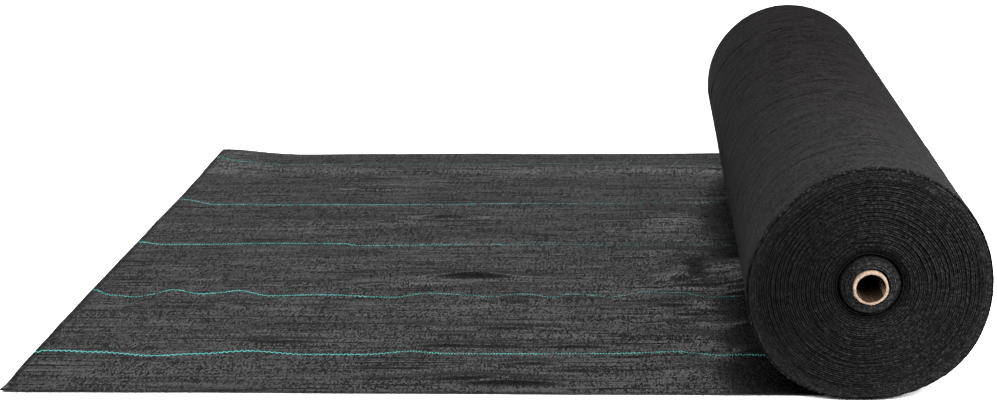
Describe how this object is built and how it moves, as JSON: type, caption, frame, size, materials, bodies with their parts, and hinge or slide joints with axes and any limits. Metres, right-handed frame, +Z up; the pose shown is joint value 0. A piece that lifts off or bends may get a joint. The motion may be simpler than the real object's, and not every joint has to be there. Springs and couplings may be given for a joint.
{
  "type": "geotextile roll",
  "caption": "Roll of black woven ground-cover cloth on an open cardboard core, partly unrolled flat on the floor, with teal zigzag marker yarns across the laid cloth.",
  "frame": {"origin": "on the floor, on the underside of the laid cloth, straight under the roll's axis and midway across the laid cloth's width", "axes": "+Y along the roll's axis from its near end to its far end, -X towards the cloth's cut edge, +Z up"},
  "size_m": [1.127, 1.026, 0.2701],
  "materials": {
    "black_cloth": "matt black woven tape cloth with a fine grain",
    "teal_yarn": "matt teal yarn",
    "kraft_board": "bare spiral-wound kraft board",
    "adhesive_tape": "cream double-sided tape"
  },
  "bodies": {
    "laid_cloth": {"laid_sheet": "black_cloth", "marker_yarn_1": "teal_yarn", "marker_yarn_2": "teal_yarn", "marker_yarn_3": "teal_yarn", "marker_yarn_4": "teal_yarn", "marker_yarn_5": "teal_yarn"},
    "core": {"core_tube": "kraft_board"},
    "roll": {"winding": "black_cloth", "start_tape": "adhesive_tape"}
  },
  "joints": [
    {"name": "roll_travel", "type": "slide", "parent": "laid_cloth", "child": "core", "axis": [1, 0, -0.002], "range_m": [-0.4273, 0.8546]},
    {"name": "roll_turn", "type": "hinge", "parent": "core", "child": "roll", "pos_m": [0, 0, 0.136], "axis": [0, 1, 0], "range_deg": [-180, 360]}
  ],
  "couplings": [
    {"joint": "roll_travel", "follows": "roll_turn", "m_per_rad": 0.136}
  ]
}
